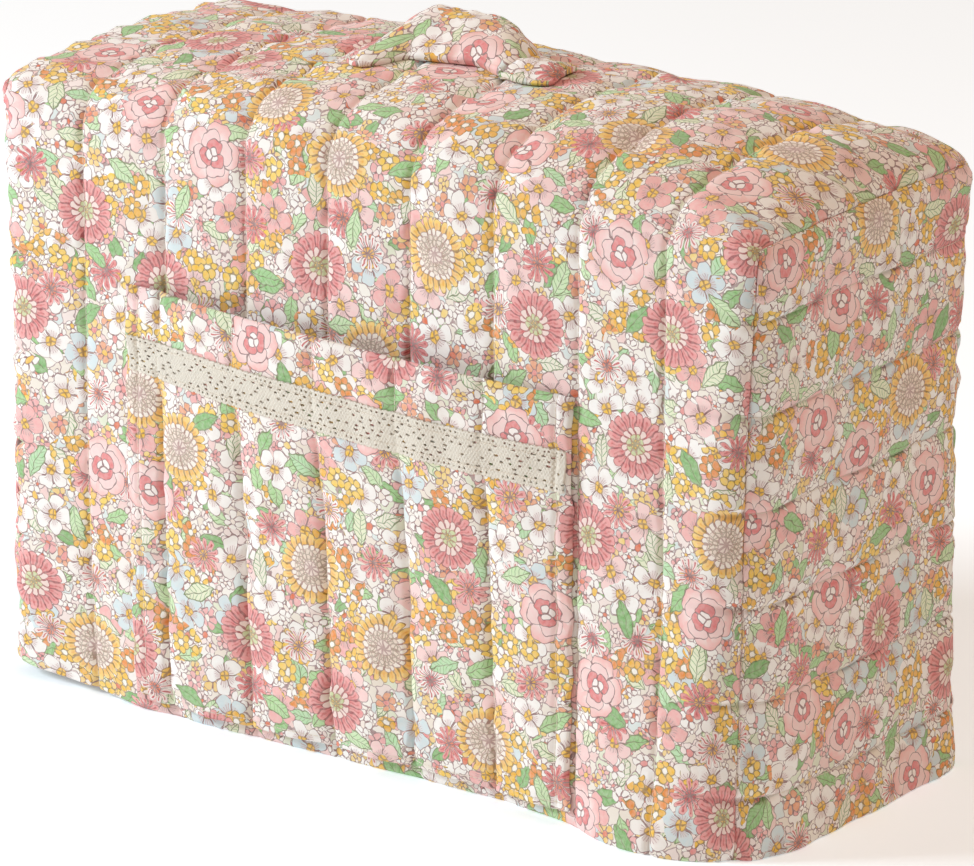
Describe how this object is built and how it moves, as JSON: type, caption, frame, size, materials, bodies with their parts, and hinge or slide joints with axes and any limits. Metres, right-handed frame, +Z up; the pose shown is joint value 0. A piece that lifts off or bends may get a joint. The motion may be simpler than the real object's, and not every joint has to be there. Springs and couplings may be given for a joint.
{
  "type": "sewing machine cover",
  "caption": "Boxy quilted cotton dust cover for a sewing machine, open underneath, with upright channels, a lace-trimmed front pocket and a soft top handle.",
  "frame": {"origin": "middle of the cover's footprint, at the height of the surface that its hem stands on", "axes": "+Z up, -Y towards the front with the pocket, +X along the cover's length to the right as seen from the front"},
  "size_m": [0.4614, 0.2023, 0.3579],
  "materials": {
    "printed_cotton": "matte printed cotton",
    "cotton_lace": "matte cotton lace"
  },
  "bodies": {
    "root": {"body_panel": "printed_cotton", "end_panel_right": "printed_cotton", "end_panel_left": "printed_cotton", "pocket": "printed_cotton", "lace_band": "cotton_lace", "handle": "printed_cotton"}
  },
  "joints": []
}
